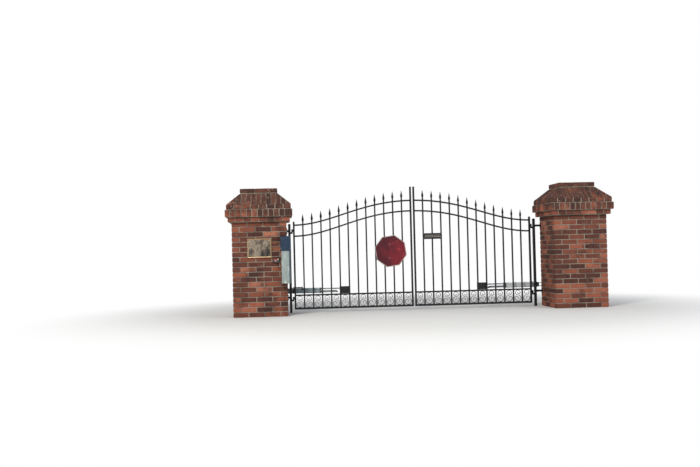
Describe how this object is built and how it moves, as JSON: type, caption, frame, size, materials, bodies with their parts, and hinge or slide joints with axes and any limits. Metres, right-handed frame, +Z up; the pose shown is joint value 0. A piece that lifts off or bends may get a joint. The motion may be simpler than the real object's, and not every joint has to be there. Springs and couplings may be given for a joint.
{
  "type": "wrought iron driveway gate",
  "caption": "Arched double driveway gate of black iron pickets with spear points and scrolls, hinged on slim posts between capped brick piers, each leaf driven by a ram.",
  "frame": {"origin": "middle of the left pier's base, at ground level", "axes": "+X from the left pier to the right pier, +Y into the grounds, to which the leaves open, +Z up"},
  "size_m": [5.352, 0.9871, 1.773],
  "materials": {
    "black_iron": "satin black paint",
    "brick": "fired clay brick with sandy mortar joints",
    "gilt_frame": "dull gilt",
    "bronze_plaque": "patinated bronze",
    "pale_bezel": "satin",
    "cabinet_paint": "weathered satin paint",
    "hood_paint": "satin slate blue paint",
    "sign_red": "satin sheet",
    "notice_black": "satin",
    "housing_paint": "powder coat",
    "conduit_black": "black conduit",
    "rod_steel": "turned steel"
  },
  "bodies": {
    "root": {"left_pier_shaft": "brick", "left_pier_corbel": "brick", "left_pier_band": "brick", "left_pier_cap": "brick", "right_pier_shaft": "brick", "right_pier_corbel": "brick", "right_pier_band": "brick", "right_pier_cap": "brick", "plaque_frame": "gilt_frame", "plaque": "bronze_plaque", "call_box": "pale_bezel", "control_cabinet": "cabinet_paint", "cabinet_hood": "hood_paint", "left_hinge_post": "black_iron", "right_hinge_post": "black_iron", "left_hinge_pins": "black_iron", "right_hinge_pins": "black_iron", "left_operator_mount": "black_iron", "right_operator_mount": "black_iron"},
    "left_leaf": {"left_stiles": "black_iron", "left_straight_rails": "black_iron", "left_arched_rails": "black_iron", "left_pickets": "black_iron", "left_spear_points": "black_iron", "left_scrolls": "black_iron", "left_knuckles": "black_iron", "left_operator_bracket": "black_iron", "stop_sign": "sign_red", "sign_straps": "black_iron"},
    "right_leaf": {"right_stiles": "black_iron", "right_straight_rails": "black_iron", "right_arched_rails": "black_iron", "right_pickets": "black_iron", "right_spear_points": "black_iron", "right_scrolls": "black_iron", "right_knuckles": "black_iron", "right_operator_bracket": "black_iron", "notice_plate": "notice_black"},
    "left_operator": {"left_operator_housing": "housing_paint", "left_operator_conduit": "conduit_black"},
    "left_rod": {"left_operator_rod": "rod_steel"},
    "right_operator": {"right_operator_housing": "housing_paint"},
    "right_rod": {"right_operator_rod": "rod_steel"}
  },
  "joints": [
    {"name": "left_leaf_hinge", "type": "hinge", "parent": "root", "child": "left_leaf", "pos_m": [0.452, 0.323, 0.19], "axis": [0, 0, 1], "range_deg": [0, 90]},
    {"name": "right_leaf_hinge", "type": "hinge", "parent": "root", "child": "right_leaf", "pos_m": [3.928, 0.323, 0.19], "axis": [0, 0, -1], "range_deg": [0, 90]},
    {"name": "left_operator_swing", "type": "hinge", "parent": "root", "child": "left_operator", "pos_m": [0.332, 0.453, 0.308], "axis": [0, 0, 1], "range_deg": [0, 90.1]},
    {"name": "left_rod_slide", "type": "slide", "parent": "left_operator", "child": "left_rod", "axis": [0.9992, -0.0407, 0], "range_m": [-0.2503, 0]},
    {"name": "right_operator_swing", "type": "hinge", "parent": "root", "child": "right_operator", "pos_m": [4.048, 0.453, 0.308], "axis": [0, 0, -1], "range_deg": [0, 90.1]},
    {"name": "right_rod_slide", "type": "slide", "parent": "right_operator", "child": "right_rod", "axis": [-0.9992, -0.0407, 0], "range_m": [-0.2503, 0]}
  ],
  "couplings": [
    {"joint": "left_operator_swing", "follows": "left_leaf_hinge", "ratio": 0.99981},
    {"joint": "left_rod_slide", "follows": "left_leaf_hinge", "m_per_rad": -0.15928},
    {"joint": "right_operator_swing", "follows": "right_leaf_hinge", "ratio": 0.99981},
    {"joint": "right_rod_slide", "follows": "right_leaf_hinge", "m_per_rad": -0.15928}
  ]
}
